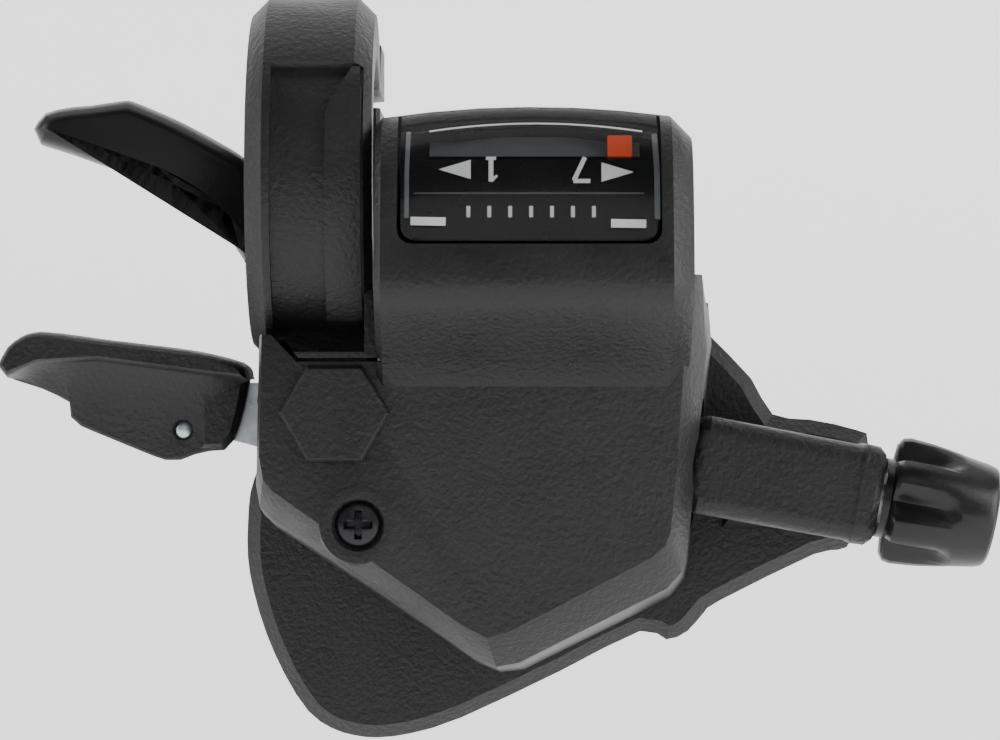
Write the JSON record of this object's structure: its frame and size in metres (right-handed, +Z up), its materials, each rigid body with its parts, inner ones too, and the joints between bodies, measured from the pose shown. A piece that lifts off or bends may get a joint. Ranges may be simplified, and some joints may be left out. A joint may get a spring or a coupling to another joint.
{
  "type": "thumb shifter",
  "caption": "Right-hand handlebar thumb shifter: split clamp band, humped housing with gear window, winding and release thumb levers, cable drum and barrel adjuster.",
  "frame": {"origin": "centre of the handlebar clamp bore, midway across the clamp band", "axes": "+X along the handlebar towards the stem, +Y from the front of the shifter to its back, +Z up"},
  "size_m": [0.0929, 0.0479, 0.0699],
  "materials": {
    "textured_black": "fine spark-eroded texture",
    "gloss_black": "smooth moulded",
    "lever_black": "satin moulded",
    "window_clear": "clear polished plastic window",
    "dial_black": "printed dial",
    "flag_orange": "moulded",
    "slider_grey": "moulded",
    "acetal_grey": "moulded low-friction plastic",
    "zinc_steel": "zinc plated",
    "black_steel": "black coated steel",
    "spring_steel": "drawn wire",
    "brass": "machined",
    "plug_rubber": "soft matte"
  },
  "bodies": {
    "housing": {"front_cover": "textured_black", "bottom_cover": "textured_black", "cable_stop": "textured_black", "clamp_band": "textured_black", "clamp_bolt": "black_steel", "clamp_nut": "zinc_steel", "hex_cap": "textured_black", "cover_screw": "black_steel", "base_screw_1": "black_steel", "base_screw_2": "black_steel", "base_screw_3": "black_steel", "main_axle": "zinc_steel", "axle_nut": "zinc_steel", "indicator_lens": "window_clear", "indicator_dial": "dial_black", "base_plate": "zinc_steel", "mech_plate": "zinc_steel", "hold_pawl_pin": "zinc_steel", "release_bush": "acetal_grey", "cable_port_plug": "plug_rubber", "adjuster_insert": "brass", "release_spring": "spring_steel", "wind_spring": "spring_steel", "drum_spring": "spring_steel", "hold_pawl_spring": "spring_steel", "adjuster_spring": "spring_steel"},
    "wind_lever": {"wind_arm": "zinc_steel", "wind_bush": "acetal_grey", "wind_rivet": "zinc_steel", "wind_pad": "textured_black", "wind_pawl_pin": "zinc_steel", "wind_pawl_spring": "spring_steel"},
    "drive_pawl": {"wind_pawl": "black_steel"},
    "release_lever": {"release_pad": "lever_black", "release_shaft": "zinc_steel", "release_trip": "zinc_steel", "release_clip": "spring_steel"},
    "holding_pawl": {"hold_pawl": "black_steel"},
    "drum": {"cable_drum": "acetal_grey", "ratchet_wheel": "black_steel", "drum_sleeve": "zinc_steel", "drum_pinion": "acetal_grey"},
    "indicator": {"indicator_slider": "slider_grey", "indicator_flag": "flag_orange"},
    "adjuster_carriage": {"housing_ferrule": "zinc_steel"},
    "adjuster_screw": {"adjuster_barrel": "zinc_steel", "adjuster_knob": "gloss_black"}
  },
  "joints": [
    {"name": "wind_lever", "type": "hinge", "parent": "housing", "child": "wind_lever", "pos_m": [0.0172, 0, -0.0346], "axis": [0, -1, 0], "range_deg": [0, 24], "stiffness_Nm_per_rad": 0.02, "springref_deg": -22.92, "deforming": ["wind_spring"]},
    {"name": "drive_pawl", "type": "hinge", "parent": "wind_lever", "child": "drive_pawl", "pos_m": [0.029, 0, -0.0362], "axis": [0, 1, 0], "range_deg": [0, 10], "stiffness_Nm_per_rad": 0.001, "springref_deg": -17.19, "deforming": ["wind_pawl_spring"]},
    {"name": "release_lever", "type": "hinge", "parent": "housing", "child": "release_lever", "pos_m": [0.00225, 0, -0.02165], "axis": [0, -1, 0], "range_deg": [0, 16], "stiffness_Nm_per_rad": 0.02, "springref_deg": -28.65, "deforming": ["release_spring"]},
    {"name": "holding_pawl", "type": "hinge", "parent": "housing", "child": "holding_pawl", "pos_m": [0.0226, 0, -0.0234], "axis": [0, 1, 0], "range_deg": [0, 16.5], "deforming": ["hold_pawl_spring"]},
    {"name": "drum_turn", "type": "hinge", "parent": "housing", "child": "drum", "pos_m": [0.0172, 0, -0.0346], "axis": [0, -1, 0], "range_deg": [0, 50], "stiffness_Nm_per_rad": 0.008, "springref_deg": -28.65, "deforming": ["drum_spring"]},
    {"name": "indicator_slide", "type": "slide", "parent": "housing", "child": "indicator", "axis": [-1, 0, 0], "range_m": [0, 0.0087]},
    {"name": "adjuster_travel", "type": "slide", "parent": "housing", "child": "adjuster_carriage", "axis": [0.9833, 0, -0.1822], "range_m": [0, 0.00319], "deforming": ["adjuster_spring"]},
    {"name": "adjuster_turn", "type": "hinge", "parent": "adjuster_carriage", "child": "adjuster_screw", "pos_m": [0.0521, -0.003, -0.02942], "axis": [0.9833, 0, -0.1822], "range_deg": [0, 1440]}
  ],
  "couplings": [
    {"joint": "drum_turn", "follows": "indicator_slide", "rad_per_m": 100},
    {"joint": "holding_pawl", "follows": "release_lever", "ratio": 1},
    {"joint": "adjuster_turn", "follows": "adjuster_travel", "rad_per_m": 7854}
  ]
}
